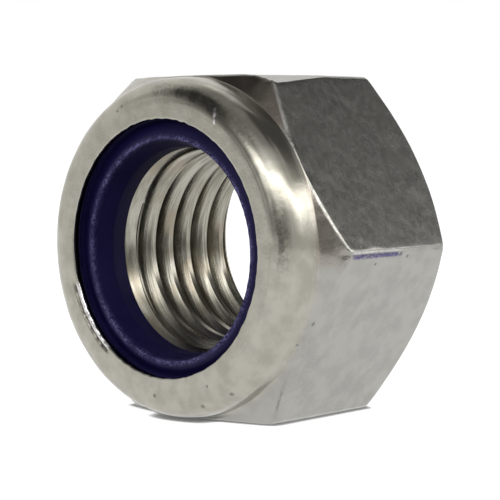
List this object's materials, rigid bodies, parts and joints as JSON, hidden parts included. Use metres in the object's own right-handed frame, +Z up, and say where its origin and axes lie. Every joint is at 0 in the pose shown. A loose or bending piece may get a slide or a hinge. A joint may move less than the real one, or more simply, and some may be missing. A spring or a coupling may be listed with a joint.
{
  "type": "nylon insert lock nut",
  "caption": "Hexagon lock nut with a metric thread and a nylon ring held under a rolled collar, which grips the bolt.",
  "frame": {"origin": "on the ground, under the middle of the nut, which lies on one of its flats", "axes": "+Y along the thread axis towards the bearing face, with the collar and nylon ring facing -Y; +Z up, square to the flat it lies on; +X towards an edge between two flats"},
  "size_m": [0.0528, 0.0308, 0.046],
  "materials": {
    "zinc_plated_steel": "zinc-plated forged steel, satin, lightly worn",
    "blue_nylon": "smooth dark blue nylon"
  },
  "bodies": {
    "root": {"nut_body": "zinc_plated_steel", "nylon_insert": "blue_nylon"}
  },
  "joints": []
}
